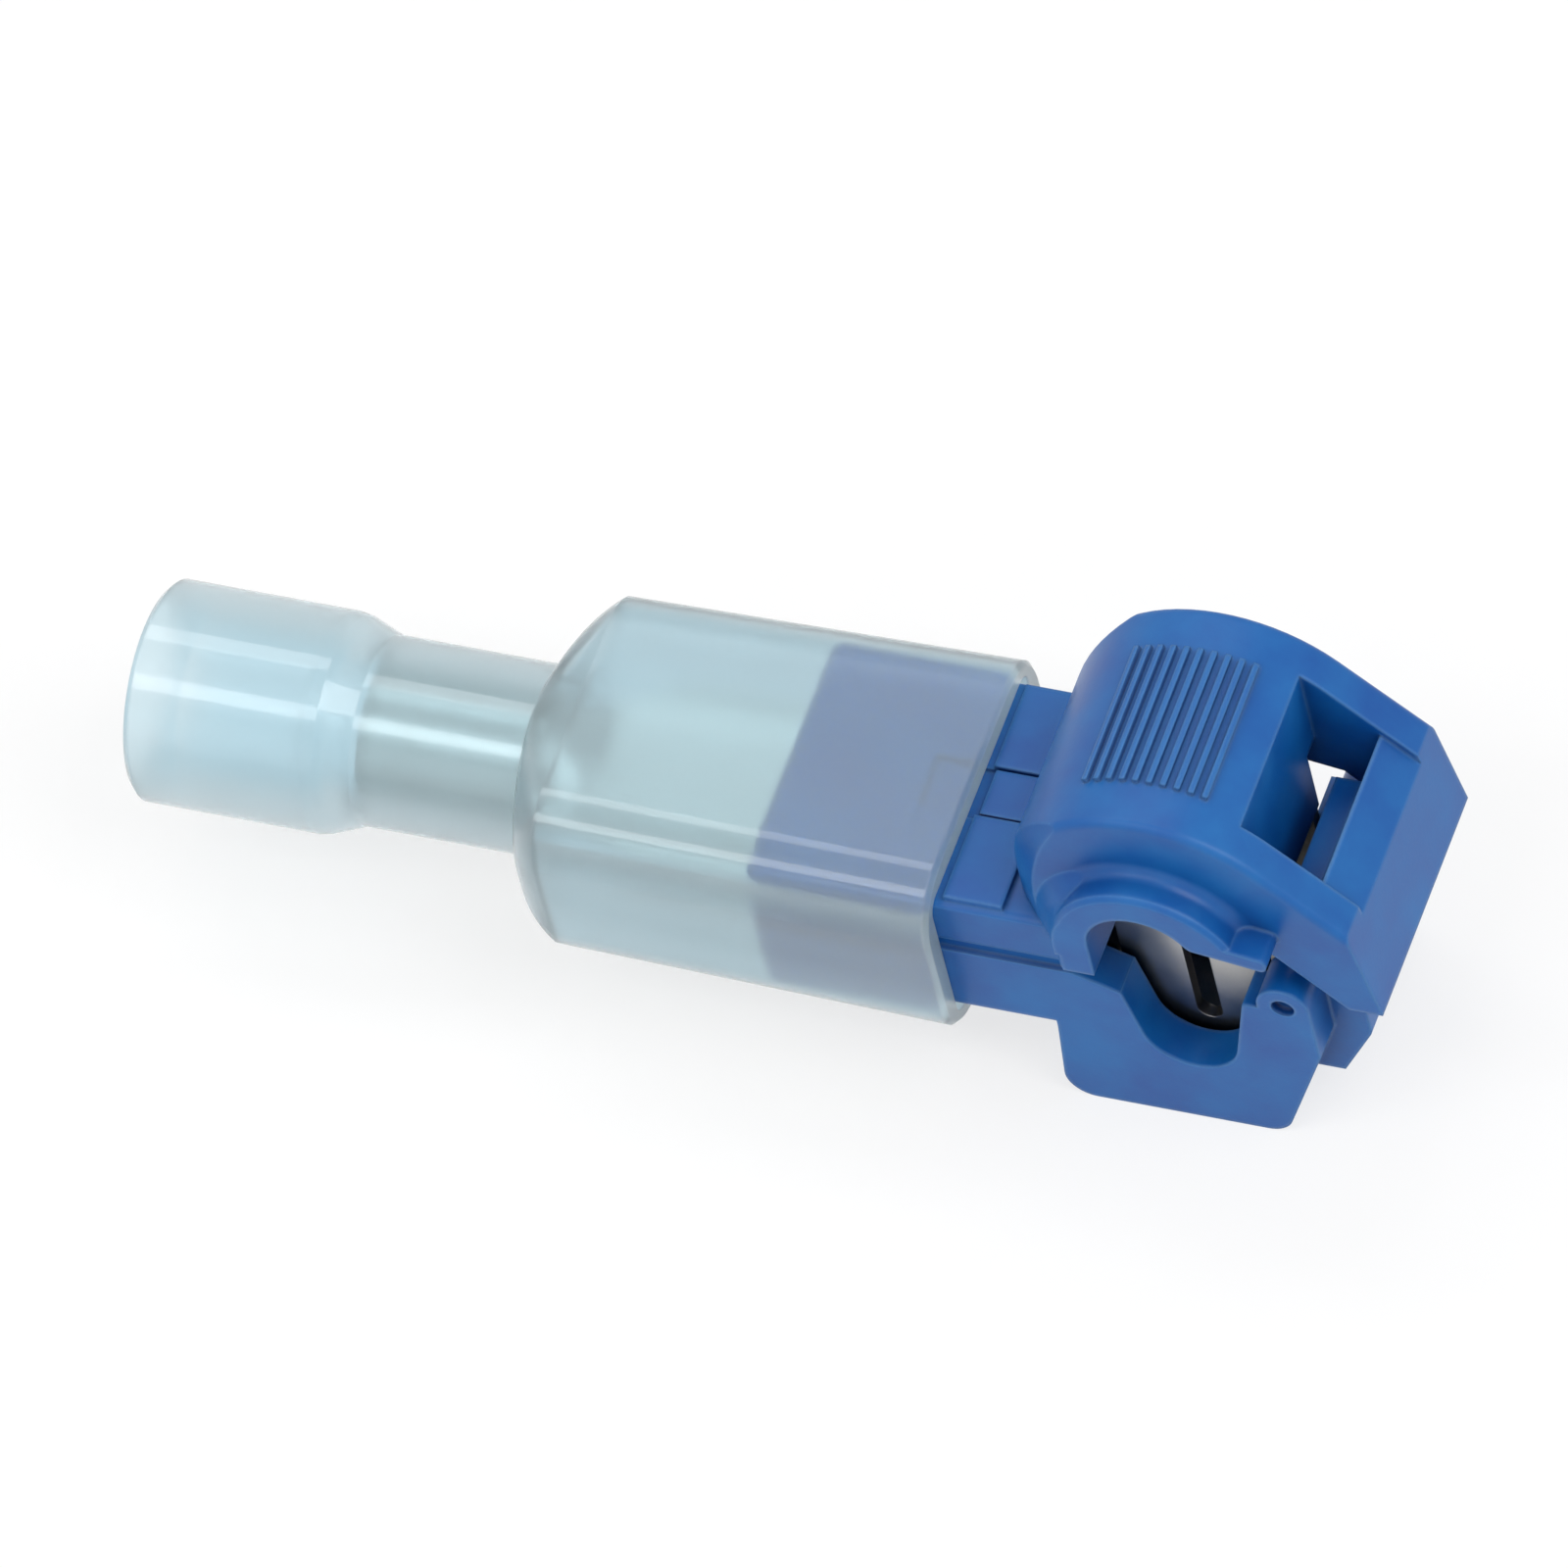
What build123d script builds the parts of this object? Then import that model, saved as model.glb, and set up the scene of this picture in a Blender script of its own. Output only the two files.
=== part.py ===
# T-tap splice connector, closed, with its insulated male disconnect plugged in.
#
# X runs along the connector, from the branch wire's funnel (-X) to the latch (+X).
# Y runs along the main wire that the lid presses into the slotted contact.
# Z is up. The origin lies on the keel's underside, straight below the main wire.
# All lengths are millimetres.
from build123d import *

import os
from math import cos, radians, sin, tan

os.makedirs("parts", exist_ok=True)

# Main wire channel in the tap body
channel_radius = 1.5
channel_axis_z = 4.1
channel_flare = 12.0

# Tap body: keel, tray walls and posts
body_width = 8.4
body_wall = 1.35
keel_back_x = -4.2
keel_back_lean = 0.25
keel_foot_front_x = 2.45
keel_front_x = 4.12
keel_front_break_z = 4.2
keel_corner_radius = 0.9
keel_floor = 0.9
pocket_back_x = -3.3
pocket_front_x = 2.5
wall_top_z = 6.3
wall_lip_x = -1.9
wall_lip_z = 5.7
post_radius = 0.82
post_centre_z = 6.5
post_dimple_radius = 0.36
post_dimple_depth = 0.3

# Tap body: socket housing for the female receptacle
plug_axis_z = 5.9
housing_height = 5.1
housing_open_x = -13.2
housing_corner_radius = 0.4
housing_rim_chamfer = 0.25
housing_top_wall = 0.65
chamber_width = 7.3
seam_height = 0.45
seam_depth = 0.2
upper_inset = 0.1

# Tap body: hinge pads, recess and film
pad_length = 1.85
pad_height = 0.2
pad_gap = 1.8
pad_side_inset = 0.3
recess_depth = 0.15
film_width = 1.6
film_thickness = 0.3
film_length = 1.8

# Tap body: latch nose and hook
nose_width = 5.8
nose_reach = 1.15
nose_bottom_z = 1.9
nose_height = 4.3
nose_corner_radius = 0.4
hook_width = 4.4
hook_top_z = 9.4
hook_back_x = 3.3
hook_thickness = 1.1
hook_overhang = 0.32
hook_overhang_height = 0.8

# Lid: arch over the wire, ribs and collars
lid_width = 8.0
lid_radius = 4.9
arch_centre_x = -0.1
arch_rise = 0.95
lid_wall = 1.1
rail_width = 1.25
foot_clearance = 0.1
slope_angle = 45.0
edge_radius = 0.25
edge_tolerance = 0.1
collar_centre_x = -0.2
collar_rise = 0.65
collar_outer_radius = 2.95
collar_bore_radius = 1.7
collar_bore_x = -0.35
collar_bore_rise = 0.2
collar_reach = 1.1
collar_leg_drop = 1.3
collar_foot_end_x = 3.6
collar_foot_end_z = 9.6
collar_foot_thickness = 0.5
collar_foot_slope = 10.0
collar_lip_radius = 0.35
collar_tip_radius = 0.2
collar_end_chamfer = 0.15
collar_root_radius = 0.4
shoulder_flat_y = 2.9
shoulder_root_y = 4.57
shoulder_root_depth = 1.52
shoulder_corner_radius = 1.0
shoulder_axis_offset = 3.0
skirt_axis_offset = 1.2
skirt_overlap = 0.2
rib_count = 10
rib_pitch_angle = 4.9
rib_middle_angle = 3.5
rib_width = 0.18
rib_height = 0.16
rib_length = 4.9

# Lid: latch window, end bar and catch ledge
lid_front_x = 5.8
lid_front_lean = 0.6
lid_bottom_z = 6.8
bar_thickness = 1.05
bar_top_drop = 0.3
rail_bottom_back_x = 3.3
rail_bottom_back_z = 8.95
window_back_x = 2.6
window_wall = 1.05
window_wall_bottom_z = 10.4
ledge_height = 0.8
ledge_depth = 0.4

# Lid: anvil that presses the wire into the slots
anvil_clearance = 0.15
anvil_back_x = -1.9
anvil_shoulder_z = 8.0
anvil_leg_width = 2.9
anvil_bottom_gap = 0.9

# Tap contact, folded from one sheet
sheet = 0.4
contact_floor_z = 1.0
fork_gap = 4.4
fork_height = 7.2
fork_back_x = -2.4
fork_front_x = 2.2
fork_point_chamfer = 0.9
slot_width = 0.8
slot_bottom_z = 3.3
slot_mouth_depth = 1.0
slot_mouth_width = 2.2
web_x = -2.9
fold_radius = 0.3
receptacle_open_gap = 0.4
receptacle_length = 7.5
curl_radius = 0.75
curl_gap = 0.1

# Male terminal: tab, neck and crimp barrel
tab_width = 6.3
tab_thickness = 0.8
tab_tip_x = -6.2
tab_clearance = 0.03
tab_side_clearance = 0.05
tab_tip_chamfer = 0.9
tab_tip_bevel = 0.2
tab_hole_radius = 0.8
tab_hole_setback = 2.6
tab_plate_end_x = -17.4
neck_width = 4.2
neck_length = 1.9
barrel_length = 5.2
barrel_radius = 1.65
barrel_bore_radius = 1.15
transition_length = 1.5

# Ferrule round the crimp barrel
ferrule_wall = 0.35
ferrule_clearance = 0.05
ferrule_overhang = 0.4

# Disconnect sleeve
mouth_x = -7.25
mouth_clearance = 0.2
shell_length = 12.5
shell_wall = 0.7
shell_corner_radius = 1.8
shell_taper_width = 0.45
shell_taper_height = 0.25
flare_length = 1.35
flare_shoulder_length = 0.55
flare_shoulder_width = 9.3
flare_shoulder_height = 6.3
flare_shoulder_radius = 2.35
grip_radius = 2.88
grip_length = 5.3
step_length = 1.2
funnel_radius = 3.35
funnel_length = 5.8
funnel_bore_radius = 2.45
funnel_cone_length = 0.6
funnel_mouth_radius = 2.8
funnel_mouth_length = 1.5
mouth_edge_chamfer = 0.15
funnel_edge_chamfer = 0.18

# Heights and places that follow from the sizes above
housing_bottom_z = plug_axis_z - housing_height / 2
housing_top_z = plug_axis_z + housing_height / 2
body_half = body_width / 2
pocket_half = body_half - body_wall
post_back_x = keel_front_x - 2 * post_radius
chamber_top_z = housing_top_z - housing_top_wall
receptacle_floor_z = plug_axis_z - tab_thickness / 2 - tab_clearance
chamber_floor_z = receptacle_floor_z - sheet - foot_clearance
arch_centre_z = housing_top_z + arch_rise
foot_z = housing_top_z + foot_clearance
lid_half = lid_width / 2
window_half = lid_half - rail_width
collar_centre_z = housing_top_z + collar_rise
collar_bore_z = collar_centre_z + collar_bore_rise
collar_end_y = lid_half + collar_reach
lid_back_x = arch_centre_x - lid_radius
hinge_x = lid_back_x - foot_clearance
hinge_z = housing_top_z - recess_depth + film_thickness
slope = tan(radians(slope_angle))
slope_start_x = arch_centre_x + lid_radius * sin(radians(slope_angle))
slope_start_z = arch_centre_z + lid_radius * cos(radians(slope_angle))
lid_front_top_z = slope_start_z - (lid_front_x - slope_start_x) * slope
bar_back_top_x = lid_front_x - bar_thickness
anvil_half = fork_gap / 2 - anvil_clearance
receptacle_x = housing_open_x + receptacle_open_gap
far = 40.0
nearly_round = 0.97

# Tap body
with BuildPart() as tap_body:
    # Keel, tray walls and the two round-topped posts, as one outline across the body
    post_top = (keel_front_x - post_radius, post_centre_z + post_radius)
    with BuildSketch(Plane.XZ) as keel_outline:
        with BuildLine():
            keel_line = Polyline(
                (post_back_x, post_centre_z),
                (post_back_x, wall_top_z),
                (0, wall_top_z),
                (wall_lip_x, wall_lip_z),
                (pocket_back_x, wall_top_z),
                (keel_back_x, wall_top_z),
                (keel_back_x, housing_bottom_z),
                (keel_back_x - keel_back_lean, 0),
                (keel_foot_front_x, 0),
                (keel_front_x, keel_front_break_z),
                (keel_front_x, post_centre_z),
            )
            ThreePointArc(keel_line @ 1, post_top, keel_line @ 0)
        make_face()
        fillet(keel_outline.vertices().group_by(Axis.Y)[0], keel_corner_radius)
    extrude(amount=body_half, both=True)

    # Housing that takes the receptacle, rounded along its length
    with BuildSketch(Plane.YZ.offset(housing_open_x)):
        with Locations((0, plug_axis_z)):
            RectangleRounded(body_width, housing_height, housing_corner_radius)
    extrude(amount=pocket_back_x - housing_open_x)
    chamfer(tap_body.faces().sort_by(Axis.X)[0].edges(), housing_rim_chamfer)

    # Seam along both sides, with the wall above it a little set in
    with BuildSketch(Plane.YZ.offset(housing_open_x)):
        with Locations((body_half, wall_top_z), (-body_half, wall_top_z)):
            Rectangle(2 * seam_depth, seam_height, align=(Align.CENTER, Align.MIN))
            Rectangle(2 * upper_inset, housing_height, align=(Align.CENTER, Align.MIN))
    extrude(amount=pocket_back_x - housing_open_x, mode=Mode.SUBTRACT)

    # Chamber of the receptacle, open at its end and into the pocket
    with BuildSketch(Plane.YZ.offset(housing_open_x)):
        with Locations((0, chamber_floor_z)):
            Rectangle(chamber_width, chamber_top_z - chamber_floor_z, align=(Align.CENTER, Align.MIN))
    extrude(amount=pocket_back_x - housing_open_x, mode=Mode.SUBTRACT)

    # Pocket of the slotted contact, open at the top
    with Locations((pocket_back_x, 0, keel_floor)):
        Box(
            pocket_front_x - pocket_back_x, 2 * pocket_half, far,
            align=(Align.MIN, Align.CENTER, Align.MIN), mode=Mode.SUBTRACT,
        )
    # Posts stand on the side walls only
    with Locations((pocket_front_x, 0, wall_top_z)):
        Box(
            far, 2 * pocket_half, far,
            align=(Align.MIN, Align.CENTER, Align.MIN), mode=Mode.SUBTRACT,
        )

    # Channel of the main wire through both side walls
    flare_cos = cos(radians(channel_flare))
    flare_sin = sin(radians(channel_flare))
    channel_mouth = channel_radius * flare_cos + (
        post_centre_z + post_radius - channel_axis_z + channel_radius * flare_sin
    ) * tan(radians(channel_flare))
    with BuildSketch(Plane.XZ):
        with Locations((0, channel_axis_z)):
            Circle(channel_radius)
            Polygon(
                (-channel_radius * flare_cos, -channel_radius * flare_sin),
                (channel_radius * flare_cos, -channel_radius * flare_sin),
                (channel_mouth, post_centre_z + post_radius - channel_axis_z),
                (-channel_mouth, post_centre_z + post_radius - channel_axis_z),
                align=None,
            )
    extrude(amount=body_half, both=True, mode=Mode.SUBTRACT)

    # Dimple in the outer face of each post
    for side in (-1, 1):
        with BuildSketch(Plane.XZ.offset(side * body_half)):
            with Locations((keel_front_x - post_radius, post_centre_z)):
                Circle(post_dimple_radius)
        extrude(amount=-side * post_dimple_depth, mode=Mode.SUBTRACT)

    # Blunt nose below the latch
    with BuildSketch(Plane.XZ) as nose_outline:
        with BuildLine():
            Polyline(
                (keel_foot_front_x, nose_bottom_z),
                (keel_front_x, nose_bottom_z),
                (keel_front_x + nose_reach, nose_bottom_z + nose_height / 2),
                (keel_front_x + nose_reach, nose_bottom_z + nose_height),
                (keel_foot_front_x, nose_bottom_z + nose_height),
                close=True,
            )
        make_face()
        fillet(nose_outline.vertices().group_by(Axis.X)[-1], nose_corner_radius)
    extrude(amount=nose_width / 2, both=True)

    # Latch hook, which leans towards the end bar of the lid
    hook_front_x = hook_back_x + hook_thickness
    with BuildSketch(Plane.XZ):
        with BuildLine():
            Polyline(
                (hook_back_x, nose_bottom_z + nose_height - nose_corner_radius),
                (hook_front_x, nose_bottom_z + nose_height - nose_corner_radius),
                (hook_front_x, hook_top_z - 2 * hook_overhang_height),
                (hook_front_x + hook_overhang, hook_top_z - hook_overhang_height),
                (hook_front_x - hook_overhang, hook_top_z),
                (hook_back_x, hook_top_z),
                close=True,
            )
        make_face()
    extrude(amount=hook_width / 2, both=True)

    # Recess, hinge pads and the body's half of the hinge film
    with Locations((hinge_x, 0, housing_top_z)):
        Box(
            2 * pad_length, pad_gap, 2 * recess_depth,
            align=(Align.MAX, Align.CENTER, Align.CENTER), mode=Mode.SUBTRACT,
        )
    pad_width = body_half - pad_side_inset - pad_gap / 2
    pad_middle_y = pad_gap / 2 + pad_width / 2
    with Locations(
        (hinge_x - foot_clearance, pad_middle_y, housing_top_z),
        (hinge_x - foot_clearance, -pad_middle_y, housing_top_z),
    ):
        Box(pad_length, pad_width, pad_height, align=(Align.MAX, Align.CENTER, Align.MIN))
    with Locations((hinge_x - foot_clearance / 2, 0, hinge_z)):
        Box(film_length, film_width, film_thickness, align=(Align.MAX, Align.CENTER, Align.MAX))

tap_body.part.label = "tap_body"
export_step(tap_body.part, "parts/tap_body.step")

# Lid
shoulder_root_x = lid_back_x + shoulder_root_depth
shoulder_draw = shoulder_root_depth / (shoulder_root_y - shoulder_flat_y)
shoulder_side_x = lid_back_x + (lid_half - shoulder_flat_y) * shoulder_draw
shoulder_axis_x = arch_centre_x + shoulder_axis_offset
skirt_axis_x = collar_centre_x - skirt_axis_offset

with BuildPart() as lid_shoulder:
    # Room that the back of the lid keeps to: drawn in at its corners, less so towards the crest
    with BuildSketch(Plane.XY.offset(arch_centre_z)) as shoulder_plan:
        Polygon(
            (shoulder_axis_x, -shoulder_root_y),
            (shoulder_root_x, -shoulder_root_y),
            (lid_back_x, -shoulder_flat_y),
            (lid_back_x, shoulder_flat_y),
            (shoulder_root_x, shoulder_root_y),
            (shoulder_axis_x, shoulder_root_y),
            align=None,
        )
        fillet(shoulder_plan.vertices().group_by(Axis.X)[0], shoulder_corner_radius)
    extrude(amount=-arch_centre_z)
    revolve(
        shoulder_plan.sketch,
        axis=Axis((shoulder_axis_x, 0, arch_centre_z), (0, 1, 0)), revolution_arc=90,
    )
    with Locations((shoulder_axis_x, 0, 0)):
        Box(far, far, far, align=(Align.MIN, Align.CENTER, Align.CENTER))

with BuildPart() as lid_skirt:
    # Skirt that carries each drawn-in corner on into the collar, and fades out up its side
    with BuildSketch(Plane.XY.offset(collar_centre_z)) as skirt_plan:
        Polygon(
            (skirt_axis_x, lid_half - skirt_overlap),
            (shoulder_side_x, lid_half - skirt_overlap),
            (shoulder_side_x, lid_half),
            (shoulder_root_x, shoulder_root_y),
            (collar_centre_x - collar_outer_radius, collar_end_y),
            (skirt_axis_x, collar_end_y),
            align=None,
        )
        mirror(about=Plane.XZ)
    extrude(amount=foot_z - collar_centre_z)
    revolve(
        skirt_plan.sketch,
        axis=Axis((skirt_axis_x, 0, collar_centre_z), (0, 1, 0)), revolution_arc=90,
    )

with BuildPart() as tap_lid:
    # Side outline of the lid: arch, slope and end bar
    with BuildSketch(Plane.XZ) as lid_outline:
        with BuildLine():
            arch = CenterArc((arch_centre_x, arch_centre_z), lid_radius, 90 - slope_angle, 90 + slope_angle)
            Polyline(
                arch @ 0,
                (lid_front_x, lid_front_top_z),
                (lid_front_x + lid_front_lean, lid_bottom_z),
                (bar_back_top_x + lid_front_lean, lid_bottom_z),
                (rail_bottom_back_x, rail_bottom_back_z),
                (collar_bore_x + collar_bore_radius, collar_bore_z),
                (collar_bore_x - collar_bore_radius, collar_bore_z),
                (collar_bore_x - collar_bore_radius, foot_z),
                (lid_back_x, foot_z),
                arch @ 1,
            )
        make_face()
    extrude(amount=lid_half, both=True)
    # Round along both upper edges, which catches the light
    upper_edges = tap_lid.edges().filter_by(
        lambda e: e.center().Z > lid_front_top_z and abs(abs(e.center().Y) - lid_half) < edge_tolerance
    )
    fillet(upper_edges, edge_radius)

    # Back corners, drawn in towards the collars
    add(lid_shoulder.part, mode=Mode.INTERSECT)

    # Collars over the wire: a leg at the back, an arch, and a foot turned out at the front
    foot_rise = (collar_foot_end_x - collar_centre_x) * tan(radians(collar_foot_slope))
    with BuildSketch(Plane.XZ) as collar_outline:
        with Locations((collar_centre_x, collar_centre_z)):
            Circle(collar_outer_radius)
            with Locations((-collar_outer_radius, 0)):
                Rectangle(2 * collar_outer_radius, far, align=(Align.MIN, Align.MAX), mode=Mode.SUBTRACT)
                Rectangle(collar_outer_radius, collar_leg_drop, align=(Align.MIN, Align.MAX))
        Polygon(
            (collar_foot_end_x, collar_foot_end_z),
            (collar_foot_end_x, collar_foot_end_z + collar_foot_thickness),
            (collar_centre_x, collar_foot_end_z + collar_foot_thickness + foot_rise),
            (collar_centre_x, collar_foot_end_z + foot_rise),
            align=None,
        )
        Polygon(
            (collar_foot_end_x, collar_foot_end_z),
            (collar_centre_x, collar_foot_end_z + foot_rise),
            (collar_centre_x, 0),
            (collar_foot_end_x, 0),
            align=None, mode=Mode.SUBTRACT,
        )
        with Locations((collar_bore_x, collar_bore_z)):
            Circle(collar_bore_radius, mode=Mode.SUBTRACT)
            Rectangle(
                2 * collar_bore_radius, far,
                align=(Align.CENTER, Align.MAX), mode=Mode.SUBTRACT,
            )
        front_corners = collar_outline.vertices().filter_by(lambda v: v.X > collar_centre_x)
        fillet(front_corners.sort_by(Axis.X)[-2:], collar_tip_radius)
        inner_corner = collar_outline.vertices().filter_by(lambda v: v.X > collar_centre_x).sort_by(Axis.X)[0]
        fillet(inner_corner, collar_lip_radius)
    extrude(amount=collar_end_y, both=True)
    collar_ends = tap_lid.edges().filter_by(GeomType.CIRCLE).filter_by(
        lambda e: abs(abs(e.center().Y) - collar_end_y) < edge_tolerance
        and abs(e.radius - collar_outer_radius) < edge_tolerance
    )
    chamfer(collar_ends, collar_end_chamfer)
    collar_roots = tap_lid.edges().filter_by(GeomType.CIRCLE).filter_by(
        lambda e: abs(abs(e.center().Y) - lid_half) < edge_tolerance
        and abs(e.radius - collar_outer_radius) < edge_tolerance
    )
    fillet(collar_roots, collar_root_radius)
    add(lid_skirt.part)

    # Opening for the wire below the collars
    with BuildSketch(Plane.XZ):
        with Locations((collar_bore_x, collar_bore_z)):
            Circle(collar_bore_radius)
            Rectangle(2 * collar_bore_radius, far, align=(Align.CENTER, Align.MAX))
    extrude(amount=collar_end_y, both=True, mode=Mode.SUBTRACT)

    # Hollow under the arch, the passage in front of it and the latch window
    with BuildSketch(Plane.XZ):
        with Locations((arch_centre_x, arch_centre_z)):
            Circle(lid_radius - lid_wall)
        with Locations((window_back_x - window_wall, window_wall_bottom_z)):
            Rectangle(far, far, align=(Align.MIN, Align.CENTER), mode=Mode.SUBTRACT)
        with Locations((window_back_x, window_wall_bottom_z)):
            Rectangle(
                window_back_x - arch_centre_x + lid_radius - lid_wall, far,
                align=(Align.MAX, Align.MAX),
            )
        Polygon(
            (window_back_x, far),
            (window_back_x, 0),
            (bar_back_top_x + lid_front_lean, 0),
            (bar_back_top_x + lid_front_lean, lid_bottom_z),
            (bar_back_top_x, lid_front_top_z),
            (bar_back_top_x, far),
            align=None,
        )
    extrude(amount=window_half, both=True, mode=Mode.SUBTRACT)

    # Top of the end bar, lower than the rails beside it
    with BuildSketch(Plane.XZ):
        Polygon(
            (slope_start_x, slope_start_z - bar_top_drop),
            (lid_front_x + lid_wall, lid_front_top_z - bar_top_drop - lid_wall * slope),
            (lid_front_x + lid_wall, slope_start_z),
            (slope_start_x, slope_start_z),
            align=None,
        )
    extrude(amount=window_half, both=True, mode=Mode.SUBTRACT)

    # Catch ledge inside the foot of the end bar
    ledge_back_x = bar_back_top_x + lid_front_lean - ledge_depth
    with BuildSketch(Plane.XZ):
        Polygon(
            (ledge_back_x, lid_bottom_z),
            (ledge_back_x + 2 * ledge_depth, lid_bottom_z),
            (ledge_back_x + 2 * ledge_depth, lid_bottom_z + 2 * ledge_height),
            (ledge_back_x, lid_bottom_z + ledge_height),
            align=None,
        )
    extrude(amount=window_half, both=True)

    # Anvil between the forks, hollowed to the wire's round
    with BuildSketch(Plane.XZ):
        with BuildLine():
            Polyline(
                (anvil_back_x, arch_centre_z + lid_radius - lid_wall),
                (anvil_back_x, anvil_shoulder_z),
                (-anvil_leg_width / 2, anvil_shoulder_z),
                (-anvil_leg_width / 2, channel_axis_z + anvil_bottom_gap),
                (anvil_leg_width / 2, channel_axis_z + anvil_bottom_gap),
                (anvil_leg_width / 2, anvil_shoulder_z),
                (window_back_x, anvil_shoulder_z),
                (window_back_x, arch_centre_z + lid_radius - 2 * lid_wall),
                close=True,
            )
        make_face()
        with Locations((0, channel_axis_z)):
            Circle(channel_radius, mode=Mode.SUBTRACT)
    extrude(amount=anvil_half, both=True)

    # Grip ribs across the crest
    with BuildSketch(Plane.XZ):
        with Locations((arch_centre_x, arch_centre_z)):
            with PolarLocations(
                lid_radius, rib_count,
                start_angle=90 + rib_middle_angle - rib_pitch_angle * (rib_count - 1) / 2,
                angular_range=rib_pitch_angle * (rib_count - 1),
                endpoint=True,
            ):
                Rectangle(2 * rib_height, rib_width)
    extrude(amount=rib_length / 2, both=True)

tap_lid.part.label = "tap_lid"
export_step(tap_lid.part, "parts/tap_lid.step")

# Contact: receptacle, dropped floor and two slotted forks
with BuildPart() as tap_blade:
    inner_half = tab_width / 2 + tab_side_clearance
    outer_half = inner_half + sheet
    side_top_z = receptacle_floor_z + tab_thickness + tab_clearance + curl_gap + sheet
    with BuildSketch(Plane.YZ.offset(receptacle_x)):
        with Locations((0, receptacle_floor_z)):
            Rectangle(2 * outer_half, sheet, align=(Align.CENTER, Align.MAX))
        for side in (-1, 1):
            with Locations((side * (outer_half - curl_radius), side_top_z)):
                Circle(curl_radius)
                Rectangle(2 * curl_radius, curl_radius, align=(Align.CENTER, Align.MAX), mode=Mode.SUBTRACT)
            with Locations((side * (outer_half - sheet / 2), receptacle_floor_z - sheet)):
                Rectangle(sheet, side_top_z - receptacle_floor_z + sheet, align=(Align.CENTER, Align.MIN))
            with Locations((side * (outer_half - 2 * curl_radius + sheet / 2), side_top_z)):
                Rectangle(sheet, sheet, align=(Align.CENTER, Align.MAX))
            with Locations((side * (outer_half - curl_radius), side_top_z)):
                Circle(curl_radius - sheet, mode=Mode.SUBTRACT)
    extrude(amount=receptacle_length)

    # Link from the receptacle down to the floor of the forks
    link_half = fork_gap / 2
    with BuildSketch(Plane.XZ) as link_outline:
        with BuildLine():
            Polyline(
                (receptacle_x + receptacle_length, receptacle_floor_z - sheet),
                (receptacle_x + receptacle_length, receptacle_floor_z),
                (web_x + sheet / 2, receptacle_floor_z),
                (web_x + sheet / 2, contact_floor_z + sheet),
                (fork_front_x, contact_floor_z + sheet),
                (fork_front_x, contact_floor_z),
                (web_x - sheet / 2, contact_floor_z),
                (web_x - sheet / 2, receptacle_floor_z - sheet),
                close=True,
            )
        make_face()
        web_front = link_outline.vertices().filter_by_position(Axis.X, web_x + sheet / 4, web_x + sheet)
        web_back = link_outline.vertices().filter_by_position(Axis.X, web_x - sheet, web_x - sheet / 4)
        fillet(
            [web_front.sort_by(Axis.Y)[-1], web_back.sort_by(Axis.Y)[0]],
            fold_radius + sheet,
        )
        web_front = link_outline.vertices().filter_by_position(Axis.X, web_x + sheet / 4, web_x + sheet)
        web_back = link_outline.vertices().filter_by_position(Axis.X, web_x - sheet, web_x - sheet / 4)
        fillet(
            [web_front.sort_by(Axis.Y)[0], web_back.sort_by(Axis.Y)[-1]],
            fold_radius,
        )
    extrude(amount=link_half, both=True)

    # Slotted forks, one on each side of the anvil
    fork_top_z = contact_floor_z + fork_height
    for side in (-1, 1):
        with BuildSketch(Plane.XZ.offset(side * fork_gap / 2)) as fork_outline:
            with Locations((fork_back_x, contact_floor_z)):
                Rectangle(fork_front_x - fork_back_x, fork_height, align=(Align.MIN, Align.MIN))
            chamfer(fork_outline.vertices().group_by(Axis.Y)[-1], fork_point_chamfer)
            with Locations((0, slot_bottom_z)):
                Circle(slot_width / 2, mode=Mode.SUBTRACT)
                Rectangle(slot_width, far, align=(Align.CENTER, Align.MIN), mode=Mode.SUBTRACT)
            Polygon(
                (-slot_width / 2, fork_top_z - slot_mouth_depth),
                (slot_width / 2, fork_top_z - slot_mouth_depth),
                (slot_mouth_width / 2, fork_top_z),
                (-slot_mouth_width / 2, fork_top_z),
                align=None, mode=Mode.SUBTRACT,
            )
        extrude(amount=side * sheet)

tap_blade.part.label = "tap_blade"
export_step(tap_blade.part, "parts/tap_blade.step")

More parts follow.
